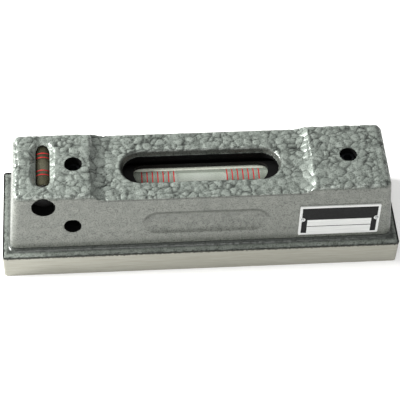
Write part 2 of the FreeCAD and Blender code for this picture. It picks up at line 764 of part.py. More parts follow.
def make_left_carrier_head():
    """The head that the screws bear on: its flange has four flats."""
    body = new_body("left_carrier_head")
    turn_head(body, -1, "head_length_left")
    flats = new_sketch(body, "head_flats", "YZ_Plane", across="bore_height", lift=f"-tube_half")
    draw_rectangle(flats, ("-head_flat", "-head_flat"), ("head_flat", "head_flat"))
    draw_circle(flats, f"2 * {CARRIER_R}")
    must_cut(body, extrude(body, "Pocket", flats, "head_length_left"))


def make_right_carrier_head():
    """The head that tips on the ball: a round seat below and a hole for the pivot screw above."""
    body = new_body("right_carrier_head")
    turn_head(body, 1, "head_length_right")
    seat = new_sketch(body, "dog_seat", "XY_Plane", along="pivot_x", lift=PIVOT_SEAT)
    draw_circle(seat, "dog_diameter / 2 + dog_side_gap")
    must_cut(body, extrude(body, "Pocket", seat, "2 * dog_length", reverse=True))
    profile = new_sketch(body, "ball_seat", "XZ_Plane", along="pivot_x", across=BALL_HEIGHT)
    reach = value("ball_diameter / 2 + ball_gap")
    circle = Part.Circle(FreeCAD.Vector(0, 0, 0), FreeCAD.Vector(0, 0, 1), reach)
    profile.addGeometry(Part.ArcOfCircle(circle, -math.pi / 2, math.pi / 2), False)
    chord = Part.LineSegment(FreeCAD.Vector(0, reach, 0), FreeCAD.Vector(0, -reach, 0))
    profile.addGeometry(chord, False)
    for join in (("Coincident", 0, CENTRE, -1, 1), ("Coincident", 0, END, 1, START),
                 ("Coincident", 1, END, 0, START), ("PointOnObject", 0, START, -2),
                 ("PointOnObject", 0, END, -2)):
        profile.addConstraint(Sketcher.Constraint(*join))
    dimension(profile, "Radius", (0,), "ball_diameter / 2 + ball_gap")
    must_cut(body, turn(body, "Groove", profile, axis="V_Axis"))


# ---------------------------------------------------------------- screws, springs and plugs


def turn_screw(label, dog="0"):
    """A set screw round its own Z axis, tip at its origin, with a dog point if one is asked for."""
    body = new_body(label)
    length = "lateral_screw_length" if "lateral" in label else "screw_length"
    radius = "(thread_diameter / 2)"
    edge_break = "slot_width / 2"
    top = f"({dog} + {length})"
    section = new_sketch(body, f"{label}_section", "XZ_Plane")
    corners = [("0", "0"), (f"{radius} - {edge_break}", "0"), (radius, edge_break)]
    if dog != "0":
        corners = [("0", "0"), ("dog_diameter / 2", "0"), ("dog_diameter / 2", dog), (radius, dog)]
    corners += [(radius, f"{top} - {edge_break}"), (f"{radius} - {edge_break}", top), ("0", top)]
    draw_polygon(section, corners)
    turn(body, "Revolution", section, axis="V_Axis")
    return body, top


def cut_socket(body, top):
    """A hexagon socket in the end of a screw."""
    sketch = new_sketch(body, f"{body.Label}_socket", "XY_Plane", lift=top)
    corners = []
    for step in range(6):
        turned = f"{60 * step} * 1 deg"
        reach = "socket_width / 2 / cos(30 * 1 deg)"
        corners.append((f"{reach} * cos({turned})", f"{reach} * sin({turned})"))
    draw_polygon(sketch, corners)
    must_cut(body, extrude(body, "Pocket", sketch, "socket_depth"))


def cut_slot(body, top):
    """A screwdriver slot across the end of a screw."""
    sketch = new_sketch(body, f"{body.Label}_slot", "XY_Plane", lift=top)
    reach = "thread_diameter"
    draw_rectangle(sketch, (f"-{reach}", "-slot_width / 2"), (reach, "slot_width / 2"))
    must_cut(body, extrude(body, "Pocket", sketch, "slot_depth"))


def make_top_screws():
    """The adjusting screw over the carrier's left end and the dog-point screw over the ball."""
    adjusting, top = turn_screw("adjusting_screw")
    cut_socket(adjusting, top)
    place(adjusting, x="-adjust_x", z=f"{PAD_BOTTOM} + pad_thickness + press_gap")
    pivot, top = turn_screw("pivot_screw", dog=f"({BORE_CEILING} - {PIVOT_SEAT} - seat_gap)")
    cut_socket(pivot, top)
    place(pivot, x="pivot_x", z=f"{PIVOT_SEAT} + seat_gap")


def make_lateral_screws():
    """Slotted set screws that hold the carrier's left end from the front and from the rear."""
    for name, side in (("front", -1), ("rear", 1)):
        body, top = turn_screw(f"{name}_lateral_screw")
        cut_slot(body, top)
        body.Placement.Rotation = FreeCAD.Rotation(FreeCAD.Vector(1, 0, 0), -side * 90)
        place(body, x="-lateral_x", y=f"{side} * (head_flat + seat_gap)", z="lateral_height")


def make_thrust_pad():
    """The pad between the adjusting screw and the carrier's top flat."""
    body = new_body("thrust_pad")
    section = new_sketch(body, "pad_section", "XZ_Plane")
    radius = "(pad_diameter / 2)"
    bevel = "pad_thickness / 3"
    corners = [("0", "0"), (f"{radius} - {bevel}", "0"), (radius, bevel), (radius, "pad_thickness"),
               ("0", "pad_thickness")]
    draw_polygon(section, corners)
    turn(body, "Revolution", section, axis="V_Axis")
    place(body, x="-adjust_x", z=PAD_BOTTOM)


def make_disc_springs():
    """Disc springs stacked cone to cone in their pocket under the carrier's left end."""
    body = new_body("disc_springs")
    body.AllowCompound = True
    section = new_sketch(body, "spring_sections", "XZ_Plane")
    for number in range(SPRING_COUNT):
        base = f"{number} * (spring_thickness + spring_cone + spring_gap)"
        hole_rise = "spring_cone" if number % 2 == 0 else "0"
        rim_rise = "0" if number % 2 == 0 else "spring_cone"
        hole = f"{base} + {hole_rise}"
        rim = f"{base} + {rim_rise}"
        corners = [("spring_hole / 2", hole), ("spring_diameter / 2", rim),
                   ("spring_diameter / 2", f"{rim} + spring_thickness"),
                   ("spring_hole / 2", f"{hole} + spring_thickness")]
        draw_polygon(section, corners)
    turn(body, "Revolution", section, axis="V_Axis")
    place(body, x="-adjust_x", z=SPRING_FLOOR)


def make_pivot_ball():
    """The steel ball under the carrier's right end."""
    ball = doc.addObject("Part::Sphere", "pivot_ball")
    ball.Label = "pivot_ball"
    bind(ball, "Radius", "ball_diameter / 2")
    place(ball, x="pivot_x", z=BALL_HEIGHT)


def make_bore_end_plug():
    """The slotted plug that closes the bore at the right end, a little inside the face."""
    body = new_body("bore_end_plug")
    outer = f"(block_base_length / 2 - {END_LEAN} * ({BORE_CEILING} - foot_height) - end_plug_depth)"
    disc = new_sketch(body, "end_plug_disc", "YZ_Plane", across="bore_height",
                      lift=f"{outer} - end_plug_length")
    draw_circle(disc, f"bore_radius - press_gap")
    extrude(body, "Pad", disc, "end_plug_length")
    slot = new_sketch(body, "end_plug_slot", "YZ_Plane", across="bore_height", lift=outer)
    draw_rectangle(slot, (f"-bore_radius", "-slot_width"), ("bore_radius", "slot_width"))
    must_cut(body, extrude(body, "Pocket", slot, "slot_depth"))


# ---------------------------------------------------------------- cross vial


CROSS_SPOT = {"along": CROSS_VIAL_MIDDLE, "across": "cross_height", "lift": "-cross_x"}
CROSS_AXIS = {"along": "-cross_x", "across": "cross_height"}
CROSS_LINES = [f"{side} * (cross_line_first + {number} * line_pitch)"
               for side in (-1, 1) for number in (0, 1)]


def turn_cross_lines(body, kind, high):
    """The cross vial's lines, two on each side of its bubble."""
    sketch = new_sketch(body, f"{body.Label}_lines", "YZ_Plane", **CROSS_SPOT)
    draw_lines(sketch, CROSS_LINES, f"{CROSS_VIAL_R} - line_depth", high)
    turn(body, kind, sketch, sweep="cross_line_sweep", middle=True)


def make_cross_vial_glass():
    """The small sealed glass tube across the left end."""
    body = new_body("cross_vial_glass")
    end = "cross_vial_length / 2"
    outside = new_sketch(body, "cross_outside", "YZ_Plane", **CROSS_SPOT)
    draw_rectangle(outside, (f"-{end}", "0"), (end, CROSS_VIAL_R))
    turn(body, "Revolution", outside)
    tip = value(end) - TOUCH
    middle = value(CROSS_VIAL_MIDDLE)

    def is_tip(point):
        return abs(point.y - middle) > tip
    ease_edges(body, "cross_ends", "Chamfer", "cross_vial_end_bevel", is_tip)
    hollow = new_sketch(body, "cross_hollow", "YZ_Plane", **CROSS_SPOT)
    hollow_end = f"({end} - cross_vial_end_wall)"
    draw_rectangle(hollow, (f"-{hollow_end}", "0"), (hollow_end, CROSS_VIAL_INNER_R))
    must_cut(body, turn(body, "Groove", hollow))
    turn_cross_lines(body, "Groove", f"{CROSS_VIAL_R} + line_depth")


def make_cross_vial_scale():
    """Red enamel in the cross vial's grooves."""
    body = new_body("cross_vial_scale")
    body.AllowCompound = True
    turn_cross_lines(body, "Revolution", CROSS_VIAL_R)


def make_cross_vial_liquid():
    """Spirit in the cross vial, with the channel for its bubble."""
    body = new_body("cross_vial_liquid")
    end = "(cross_vial_length / 2 - cross_vial_end_wall - press_gap)"
    section = new_sketch(body, "cross_liquid_section", "YZ_Plane", **CROSS_SPOT)
    draw_rectangle(section, (f"-{end}", "0"), (end, f"{CROSS_VIAL_INNER_R} - press_gap"))
    turn(body, "Revolution", section)
    length = "cross_bubble_length + 2 * cross_bubble_travel + 2 * bubble_gap"
    width = f"{bubble_width(CROSS_VIAL_INNER_R, 'cross_bubble_floor')} + 2 * bubble_gap"
    floor = "cross_height + cross_bubble_floor - bubble_gap"
    cut_bubble_channel(body, floor, length, width, upright=True, along="-cross_x",
                       across=CROSS_VIAL_MIDDLE)


def make_cross_vial_bed():
    """Plaster under the cross vial, over its whole length."""
    body = new_body("cross_vial_bed")
    outer = "(cross_bore_diameter / 2 - press_gap)"
    middle = f"-{CROSS_VIAL_MIDDLE}"
    section = new_sketch(body, "cross_bed_section", "XZ_Plane", lift=middle, **CROSS_AXIS)
    draw_circle(section, outer)
    draw_circle(section, f"{CROSS_VIAL_R} + press_gap")
    extrude(body, "Pad", section, "cross_vial_length", middle=True)
    top = new_sketch(body, "cross_bed_top", "XZ_Plane", lift=middle, **CROSS_AXIS)
    draw_rectangle(top, ("-cross_bore_diameter", "cross_bed_rise"),
                   ("cross_bore_diameter", "cross_bore_diameter"))
    must_cut(body, extrude(body, "Pocket", top, "2 * cross_vial_length", middle=True))


def make_cross_vial_plug():
    """The black plug that seals the bore in front of the cross vial."""
    body = new_body("cross_vial_plug")
    back = f"({CROSS_VIAL_MIDDLE} - cross_vial_length / 2 - press_gap)"
    disc = new_sketch(body, "cross_plug_disc", "XZ_Plane", lift=f"-{back}", **CROSS_AXIS)
    draw_circle(disc, "cross_bore_diameter / 2 - press_gap")
    extrude(body, "Pad", disc, "plug_length")


# ---------------------------------------------------------------- type plate


def make_type_plate():
    """The thin plate riveted to the right of the front face."""
    body = new_body("type_plate")
    outline = new_face_sketch(body, "plate_outline", "plate_x", "plate_level")
    draw_rounded_rectangle(outline, "plate_length", "plate_height", "plate_corner")
    extrude(body, "Pad", outline, "plate_thickness")
    holes = new_face_sketch(body, "plate_holes", "plate_x", "plate_level")
    draw_rivet_circles(holes, "rivet_diameter / 2")
    must_cut(body, extrude(body, "Pocket", holes, "2 * plate_thickness", middle=True))


def make_plate_rivets():
    """Two round-headed drive rivets: shanks in the casting, heads on the plate."""
    body = new_body("plate_rivets")
    body.AllowCompound = True
    shanks = new_face_sketch(body, "rivet_shanks", "plate_x", "plate_level")
    draw_rivet_circles(shanks, "rivet_diameter / 2 - press_gap")
    extrude(body, "Pad", shanks, "rivet_depth - press_gap", reverse=True)
    heads = new_face_sketch(body, "rivet_heads", "plate_x", "plate_level")
    draw_rivet_circles(heads, "rivet_diameter / 2 - press_gap")
    extrude(body, "Pad", heads, "plate_thickness + rivet_head")


# ---------------------------------------------------------------- the whole level


make_body_casting()
make_main_vial_glass()
make_main_vial_liquid()
make_bubble("main_vial_bubble", "bubble_length", f"({VIAL_INNER_R} - bubble_gap)", "bubble_floor",
            "bore_height", upright=False)
make_main_vial_scale()
make_main_vial_bed()
make_carrier_tube()
make_vial_packings()
make_left_carrier_head()
make_right_carrier_head()
make_top_screws()
make_lateral_screws()
make_thrust_pad()
make_disc_springs()
make_pivot_ball()
make_bore_end_plug()
make_cross_vial_glass()
make_cross_vial_liquid()
make_bubble("cross_vial_bubble", "cross_bubble_length", f"({CROSS_VIAL_INNER_R} - bubble_gap)",
            "cross_bubble_floor", "cross_height", upright=True,
            along="-cross_x", across=CROSS_VIAL_MIDDLE)
make_cross_vial_scale()
make_cross_vial_bed()
make_cross_vial_plug()
make_type_plate()
make_plate_rivets()
doc.recompute()

for item in doc.Objects:
    if "Invalid" in item.State or "Error" in item.State:
        raise ValueError(f"{item.Name} failed: {item.State}")
nodes = doc.findObjects("PartDesign::Body") + doc.findObjects("Part::Sphere")
for node in nodes:
    if node.Shape.isNull() or not node.Shape.isValid():
        raise ValueError(f"{node.Label} has no valid shape")
os.makedirs(NODES_FOLDER, exist_ok=True)
for node in nodes:
    node.Shape.exportStep(f"{NODES_FOLDER}/{node.Label}.step")
    print(node.Label, len(node.Shape.Solids), round(node.Shape.Volume, 2))
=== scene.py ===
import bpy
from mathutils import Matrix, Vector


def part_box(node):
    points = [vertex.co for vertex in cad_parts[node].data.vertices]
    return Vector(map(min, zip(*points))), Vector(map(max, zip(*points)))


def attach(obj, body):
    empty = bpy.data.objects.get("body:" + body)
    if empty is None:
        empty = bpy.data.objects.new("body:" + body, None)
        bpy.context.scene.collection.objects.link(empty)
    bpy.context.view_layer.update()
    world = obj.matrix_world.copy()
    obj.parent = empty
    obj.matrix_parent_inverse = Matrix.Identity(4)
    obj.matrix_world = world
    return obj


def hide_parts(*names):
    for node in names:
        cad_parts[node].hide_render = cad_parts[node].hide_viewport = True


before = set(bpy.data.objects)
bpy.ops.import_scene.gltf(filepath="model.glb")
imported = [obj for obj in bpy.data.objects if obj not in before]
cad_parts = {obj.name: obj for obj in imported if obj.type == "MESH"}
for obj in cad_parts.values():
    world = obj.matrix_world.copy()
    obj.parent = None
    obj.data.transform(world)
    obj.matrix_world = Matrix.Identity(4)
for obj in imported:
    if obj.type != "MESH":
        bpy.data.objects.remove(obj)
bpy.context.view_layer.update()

import math

import bmesh
import bpy
from mathutils import Matrix, Vector, noise

# ---------------------------------------------------------------------------------------------
# Casting. Grey iron, cast in sand, sprayed with hammertone enamel on top and sides, then drilled,
# bored and ground: the tool-cut bores and the foot's faces stay bare. The skin is rebuilt here
# with the enamel's cells as real relief; the cut faces keep the CAD's crisp edges.
# ---------------------------------------------------------------------------------------------
MM = 0.001
SKIN_GRID = 0.46 * MM
CELL_SIZE = 3.1 * MM
CELL_SQUASH = (1.0, 1.12, 1.0)
CREVICE_DEPTH = 0.38 * MM
DOME_DEPTH = 0.30 * MM
SPECKLE_SIZE = 0.9 * MM
SPECKLE_DEPTH = 0.05 * MM
TOOL_MARGIN = 0.12 * MM
PAINT_EDGE_TUCK = 0.2 * MM
CAD_MARGIN = 0.03 * MM

# Levels and half sizes of the casting, seen from its middle.
FOOT_TOP = 10.8 * MM
FOOT_SIDE_X = 74.5 * MM
FOOT_SIDE_Y = 20.5 * MM
LEDGE_RIM_X = 73.9 * MM
LEDGE_RIM_Y = 19.9 * MM
BLOCK_ROOT_X = 73.2 * MM
BLOCK_ROOT_Y = 18.4 * MM
SIDE_FROM_Y = 13.0 * MM
HAMMERED_FROM = 33.0 * MM
HAMMERED_BLEND = 2.0 * MM
WINDOW_FLOOR = 34.0 * MM
# A thin band along the deck's front arris, at this level, gets painted shade.
DECK_EDGE = 36.2 * MM
DECK_EDGE_REACH = 40 * MM
# The window's walls, inside these bounds, get painted shade.
WINDOW_HALF_LENGTH = 31.0 * MM
WINDOW_HALF_WIDTH = 8.0 * MM
WINDOW_LIP = 36.6 * MM

# Finger recess: a slot with round ends in each side face.
RECESS_X = 1.2 * MM
RECESS_Z = 23.3 * MM
RECESS_HALF_STRAIGHT = 17.8 * MM
RECESS_RADIUS = 5.4 * MM
RECESS_BLEND = 1.4 * MM
# The brow: a band along the recess's upper rim, which gets painted shade.
BROW_NEAR = 4.7 * MM
BROW_FAR = 6.2 * MM
BROW_ABOVE = 24.5 * MM

# How the enamel lies: the size of each unevenness and how deep it goes.
ENAMEL_SEED = 7
WANDER_SIZE = 4.0 * MM
THINNING_SIZE = 5.0 * MM
LUMP_SIZE = 1.5 * MM
LEDGE_LUMP_DEPTH = 0.34 * MM
RECESS_LUMP_DEPTH = 0.22 * MM
# The ledge's outer rim gets a ragged dark line, this wide.
RAGGED_RIM_SIZE = 1.1 * MM
# How far the painted shade at the root of the ledge reaches.
ROOT_SHADE = 0.5 * MM
DRAW_BACK = 0.8 * MM


def clamp(value):
    """The value held between 0 and 1."""
    return min(max(value, 0.0), 1.0)


def linear(hex_colour):
    """An sRGB hex colour as the linear RGBA that shaders take."""
    channels = [int(hex_colour[i:i + 2], 16) / 255 for i in (1, 3, 5)]
    return [c / 12.92 if c <= 0.04045 else ((c + 0.055) / 1.055) ** 2.4 for c in channels] + [1.0]


def add_node(material, kind, settings=None, links=None, **values):
    """A shader node with its settings, the values of its sockets, and links {socket: output}."""
    node = material.node_tree.nodes.new(kind)
    for name, setting in (settings or {}).items():
        setattr(node, name, setting)
    for name, value in values.items():
        node.inputs[name.replace("_", " ")].default_value = value
    for socket, output in (links or {}).items():
        material.node_tree.links.new(output, node.inputs[socket])
    return node


def new_finish(name, **shader_values):
    """A material with one Principled shader; returns it, its shader and its object coordinates."""
    material = bpy.data.materials.new(name)
    material.use_nodes = True
    material.node_tree.nodes.clear()
    shader = add_node(material, "ShaderNodeBsdfPrincipled", **shader_values)
    add_node(material, "ShaderNodeOutputMaterial", links={"Surface": shader.outputs[0]})
    place = add_node(material, "ShaderNodeTexCoord").outputs["Object"]
    return material, shader, place


def join(material, output, socket):
    material.node_tree.links.new(output, socket)


def shades(material, factor, stops):
    """A colour ramp over factor, from {position: sRGB hex}."""
    ramp = add_node(material, "ShaderNodeValToRGB", links={"Fac": factor})
    for element, (position, colour) in zip(
        [ramp.color_ramp.elements[0], ramp.color_ramp.elements[1]], list(stops.items())[:2]
    ):
        element.position = position
        element.color = linear(colour)
    for position, colour in list(stops.items())[2:]:
        ramp.color_ramp.elements.new(position).color = linear(colour)
    return ramp.outputs["Color"]


def blend_colours(material, factor, under, over):
    """One colour laid over another by a factor."""
    mix = add_node(material, "ShaderNodeMix", {"data_type": "RGBA"})
    join(material, factor, mix.inputs[0])
    for colour, socket in ((under, mix.inputs["A"]), (over, mix.inputs["B"])):
        if isinstance(colour, list):
            socket.default_value = colour
        else:
            join(material, colour, socket)
    return mix.outputs["Result"]


def noise_map(material, place, scale, detail=2.0, **values):
    """Noise over a surface, from 0 to 1."""
    return add_node(material, "ShaderNodeTexNoise", links={"Vector": place}, Scale=scale,
                    Detail=detail, **values).outputs["Fac"]


def add_relief(material, shader, height, strength, depth):
    """Bumps a finish by a height from 0 to 1."""
    relief = add_node(material, "ShaderNodeBump", links={"Height": height}, Strength=strength,
                      Distance=depth)
    join(material, relief.outputs["Normal"], shader.inputs["Normal"])


def mottled_finish(name, scale, detail, stops, relief=None, **shader_values):
    """A finish whose colour drifts over noise; relief is its (strength, depth), if it has one."""
    material, shader, place = new_finish(name, **shader_values)
    drift = noise_map(material, place, scale, detail)
    join(material, shades(material, drift, stops), shader.inputs["Base Color"])
    if relief:
        add_relief(material, shader, drift, *relief)
    return material


# Hammertone enamel: aluminium flake in grey green lacquer that draws up into cells as it dries.
# The eye sees silvery domes with soft highlights, and dark lines where the lacquer runs thin; the
# colour of those lines is partly the thin lacquer and partly painted shade in the crevices. The
# side faces take a darker copy of the lacquer, painted shade, and the same dark colour paints
# shade at the ledge's root, in the window, on the recess's brow and under the deck's front arris.
hammertone, shader, place = new_finish("hammertone_enamel", Roughness=0.36, Metallic=0.25,
                                       Coat_Weight=0.35, Coat_Roughness=0.18)
# Dark marks: the cell lines, partly thin lacquer and partly painted shade; the ledge's ragged rim;
# painted shade in the hollows and under the arris.
crevice_and_shade = add_node(hammertone, "ShaderNodeAttribute", {"attribute_name": "crevice_and_shade"}).outputs["Fac"]
mottle = noise_map(hammertone, place, 0.35 / MM, 3.0, Roughness=0.6)
# How much of the side faces' painted shade a point takes: a darker copy of the lacquer.
flank_shade = add_node(hammertone, "ShaderNodeAttribute", {"attribute_name": "flank_shade"}).outputs["Fac"]
body_colour = shades(hammertone, mottle, {0.25: "#868E87", 0.75: "#ABB3AB", 0.5: "#99A199"})
flank_shade_colour = shades(hammertone, mottle, {0.25: "#72766F", 0.75: "#8B8E86", 0.5: "#7F827B"})
lacquer_and_shade = blend_colours(hammertone, flank_shade, body_colour, flank_shade_colour)
lacquer_and_shade = blend_colours(hammertone, crevice_and_shade, lacquer_and_shade, linear("#2C302C"))
grain = noise_map(hammertone, place, 2.2 / MM, 2.0)
flecks = shades(hammertone, grain, {0.36: "#7C7F79", 0.50: "#FFFFFF"})
flecked = add_node(hammertone, "ShaderNodeMix", {"data_type": "RGBA", "blend_type": "MULTIPLY"})
flecked.inputs[0].default_value = 0.7
join(hammertone, lacquer_and_shade, flecked.inputs["A"])
join(hammertone, flecks, flecked.inputs["B"])
join(hammertone, flecked.outputs["Result"], shader.inputs["Base Color"])
add_relief(hammertone, shader, grain, 0.35, 0.05 * MM)

# Ground grey iron: fine lines along the level from the surface grinder, a warm dull silver. Its
# upper edge, under the ledge, ends in a ragged dark line.
ground_iron, shader, place = new_finish("ground_grey_iron", Roughness=0.42, Metallic=0.75)
lines = add_node(ground_iron, "ShaderNodeMapping", links={"Vector": place}, Scale=(0.04, 1.0, 1.0))
grind = noise_map(ground_iron, lines.outputs[0], 2.2 / MM, 4.0, Roughness=0.65)
bare_colour = shades(ground_iron, grind, {0.3: "#96958A", 0.7: "#AAA99F"})
height = add_node(ground_iron, "ShaderNodeSeparateXYZ", links={"Vector": place}).outputs["Z"]
ragged = noise_map(ground_iron, place, 1.1 / MM, 4.0)
uneven = add_node(ground_iron, "ShaderNodeMath", {"operation": "MULTIPLY_ADD"},
                  {0: ragged, 2: height})
uneven.inputs[1].default_value = 1.6 * MM
ragged_dark_line = add_node(ground_iron, "ShaderNodeMapRange", links={"Value": uneven.outputs[0]},
                     From_Min=10.7 * MM, From_Max=11.0 * MM).outputs["Result"]
join(ground_iron, blend_colours(ground_iron, ragged_dark_line, bare_colour, linear("#3C3D38")),
     shader.inputs["Base Color"])
add_relief(ground_iron, shader, grind, 0.3, 0.02 * MM)

# Near black for the bores: painted shade, the dark deep inside the drilled and bored holes.
bore_shade_black = mottled_finish("bore_painted_shade", 0.8 / MM, 3.0, {0.3: "#020202", 0.7: "#0B0B0A"},
                              Roughness=0.7, Specular_IOR_Level=0.15)

foot_low, casting_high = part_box("body_casting")
plug_low, plug_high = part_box("bore_end_plug")
cross_low, cross_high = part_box("cross_vial_plug")
SCREW_HOLE = 3.15 * MM
BORES = [
    # (axis, a point on the axis, radius, reach along the axis)
    ("x", (plug_low + plug_high) / 2, 9.5 * MM, (-53.1 * MM, 80 * MM)),
    ("y", (cross_low + cross_high) / 2, 4.25 * MM, (-30 * MM, 13.3 * MM)),
    ("z", Vector((-47.4 * MM, 0, 0)), SCREW_HOLE, (20 * MM, 50 * MM)),
    ("z", Vector((55.0 * MM, 0, 0)), SCREW_HOLE, (20 * MM, 50 * MM)),
    ("y", Vector((-48.3 * MM, 0, 23.4 * MM)), SCREW_HOLE, (-30 * MM, 30 * MM)),
]
SLOT_HALF_LENGTH = 29.0 * MM
SLOT_HALF_WIDTH = 6.65 * MM
SLOT_CLEARANCE = 1.5 * MM


def off_axis(point, axis, centre):
    """How far a point lies from a bore's axis."""
    across = {"x": (1, 2), "y": (0, 2), "z": (0, 1)}[axis]
    return math.hypot(*(point[i] - centre[i] for i in across))


def tool_cut(point, margin):
    """True where a drill, boring bar or mill has passed, a margin outside its wall included."""
    for axis, centre, radius, reach in BORES:
        along = point["xyz".index(axis)]
        if reach[0] < along < reach[1] and off_axis(point, axis, centre) < radius + margin:
            return True
    beyond = max(abs(point[0]) - (SLOT_HALF_LENGTH - SLOT_HALF_WIDTH), 0)
    in_slot = math.hypot(beyond, point[1]) < SLOT_HALF_WIDTH + SLOT_CLEARANCE
    return in_slot and point[2] < WINDOW_FLOOR + margin


def near_hole(point):
    """0 at a drilled edge, 1 well outside it: the enamel draws back smooth from an edge."""
    nearest = 1.0
    for axis, centre, radius, reach in BORES[1:]:
        if reach[0] < point["xyz".index(axis)] < reach[1]:
            nearest = min(nearest, (off_axis(point, axis, centre) - radius) / DRAW_BACK)
    return max(nearest, 0.0)


def faces_joined_to(start, allowed):
    """The faces reached from one face over shared edges without leaving the allowed ones."""
    found = {start}
    frontier = [start]
    while frontier:
        face = frontier.pop()
        for edge in face.edges:
            for other in edge.link_faces:
                if other not in found and allowed(other):
                    found.add(other)
                    frontier.append(other)
    return found


def highest_face(mesh):
    return max(mesh.faces, key=lambda face: face.calc_center_median().z + face.normal.z)


def is_foot_face(face, margin):
    """The foot's bare sides and sole, below its painted ledge."""
    return face.calc_center_median().z < FOOT_TOP - margin


solid = bmesh.new()
solid.from_mesh(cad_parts["body_casting"].data)
bmesh.ops.remove_doubles(solid, verts=solid.verts, dist=0.001 * MM)
whole = bpy.data.meshes.new("casting_whole")
solid.to_mesh(whole)
blank = bpy.data.objects.new("casting_blank", whole)
bpy.context.scene.collection.objects.link(blank)
grid = blank.modifiers.new("even_grid", "REMESH")
grid.mode = "VOXEL"
grid.voxel_size = SKIN_GRID
remeshed = blank.evaluated_get(bpy.context.evaluated_depsgraph_get())
skin_mesh = bpy.data.meshes.new_from_object(remeshed)
bpy.data.objects.remove(blank)

skin = bmesh.new()
skin.from_mesh(skin_mesh)


def is_skin_face(face):
    middle = face.calc_center_median()
    return not tool_cut(middle, TOOL_MARGIN) and not is_foot_face(face, SKIN_GRID)


outside = faces_joined_to(highest_face(skin), is_skin_face)
bmesh.ops.delete(skin, geom=[face for face in skin.faces if face not in outside], context="FACES")


def off_block(point):
    """How far a point on the ledge stands from the block's root."""
    return max(abs(point.x) - BLOCK_ROOT_X, abs(point.y) - BLOCK_ROOT_Y)


def off_recess_line(point):
    """How far a point on a side face lies from the middle line of its finger recess."""
    beyond = max(abs(point.x - RECESS_X) - RECESS_HALF_STRAIGHT, 0.0)
    return math.hypot(beyond, point.z - RECESS_Z)


def enamel_cell(point):
    """How strong the groove between two cells is here, and how far the dome has fallen away."""
    wander = noise.noise_vector(point / WANDER_SIZE) * 0.22
    cell = Vector(point[i] / CELL_SIZE * CELL_SQUASH[i] for i in range(3)) + wander
    near, second = noise.voronoi(cell)[0][:2]
    thin = 0.35 + 0.65 * clamp(noise.noise(point / THINNING_SIZE) * 1.5 + 0.6)
    line = (1.0 - min((second - near) / 0.20, 1.0)) ** 1.4 * thin
    return line, min(near / 0.8, 1.0) ** 2


noise.seed_set(ENAMEL_SEED)
skin.normal_update()
crevice_and_shade_mark = skin.verts.layers.float.new("crevice_and_shade")
flank_shade_mark = skin.verts.layers.float.new("flank_shade")
for vertex in skin.verts:
    point = vertex.co.copy()
    upward = max(vertex.normal.z, 0.0)
    off_recess = off_recess_line(point)

    # Where this is on the casting.
    on_top = clamp((point.z - HAMMERED_FROM) / HAMMERED_BLEND) * clamp(upward * 3 - 0.9)
    on_side = abs(point.y) > SIDE_FROM_Y and upward < 0.6
    on_ledge = point.z < FOOT_TOP + 1.6 * MM
    # The window's walls, which get painted shade.
    window_wall_shade = (abs(point.x) < WINDOW_HALF_LENGTH and abs(point.y) < WINDOW_HALF_WIDTH
                 and point.z < WINDOW_LIP)
    in_recess = clamp((RECESS_RADIUS - off_recess) / RECESS_BLEND) * on_side
    # The recess's brow and the deck's front arris, which get painted shade.
    brow_shade = on_side and BROW_NEAR < off_recess < BROW_FAR and point.z > BROW_ABOVE
    arris_shade = (upward < 0.5 and abs(point.z - DECK_EDGE) < 0.3 * MM
                and abs(point.x) < DECK_EDGE_REACH)

    # How thick the enamel stands.
    line, fall = enamel_cell(point)
    lump = 0.5 + 0.5 * noise.noise(point / LUMP_SIZE)
    speckle = 0.5 + 0.5 * noise.noise(point / SPECKLE_SIZE)
    sink = on_top * (line * CREVICE_DEPTH + fall * DOME_DEPTH) + speckle * SPECKLE_DEPTH
    sink += (on_ledge * LEDGE_LUMP_DEPTH + in_recess * RECESS_LUMP_DEPTH) * lump
    vertex.co = point - vertex.normal * sink * near_hole(point)
    if point.z < FOOT_TOP - 0.05 * MM:
        vertex.co.x -= math.copysign(PAINT_EDGE_TUCK, point.x) * (abs(point.x) > FOOT_SIDE_X)
        vertex.co.y -= math.copysign(PAINT_EDGE_TUCK, point.y) * (abs(point.y) > FOOT_SIDE_Y)
    vertex.co = Vector(min(max(c, a), b) for c, a, b in zip(vertex.co, foot_low, casting_high))

    # Where it is dark: the cell lines, partly thin lacquer and partly painted shade; the ragged rim of
    # the ledge; painted shade at the ledge's root, in the window, on the recess's brow and under the
    # deck's arris.
    rim = max(abs(point.x) - LEDGE_RIM_X, abs(point.y) - LEDGE_RIM_Y) / RAGGED_RIM_SIZE
    ragged_rim = clamp(rim + noise.noise(point / RAGGED_RIM_SIZE)) * on_ledge
    root = clamp(1.0 - off_block(point) / ROOT_SHADE) * on_ledge
    pitted = in_recess * clamp(lump * 2 - 0.9)
    vertex[crevice_and_shade_mark] = clamp(max(
        line * on_top, 0.85 * ragged_rim, 0.8 * root, 0.55 * window_wall_shade, 0.4 * pitted,
        0.28 * brow_shade, 0.5 * arris_shade))
    # The side faces, and a little the ledge, take the darker copy of the lacquer: painted shade.
    vertex[flank_shade_mark] = 1.0 - on_top if point.z > FOOT_TOP + 1.2 * MM else 0.35
skin.to_mesh(skin_mesh)
skin.free()
skin_mesh.materials.clear()
skin_mesh.materials.append(hammertone)
skin_mesh.shade_smooth()
painted_skin = bpy.data.objects.new("casting_painted_skin", skin_mesh)

solid.normal_update()


def is_cad_skin_face(face):
    middle = face.calc_center_median()
    cut_all_over = (tool_cut(middle, CAD_MARGIN)
                    and all(tool_cut(vertex.co, CAD_MARGIN) for vertex in face.verts))
    low = all(vertex.co.z < FOOT_TOP + 0.01 * MM for vertex in face.verts)
    return not cut_all_over and not (low and face.normal.z < 0.5)


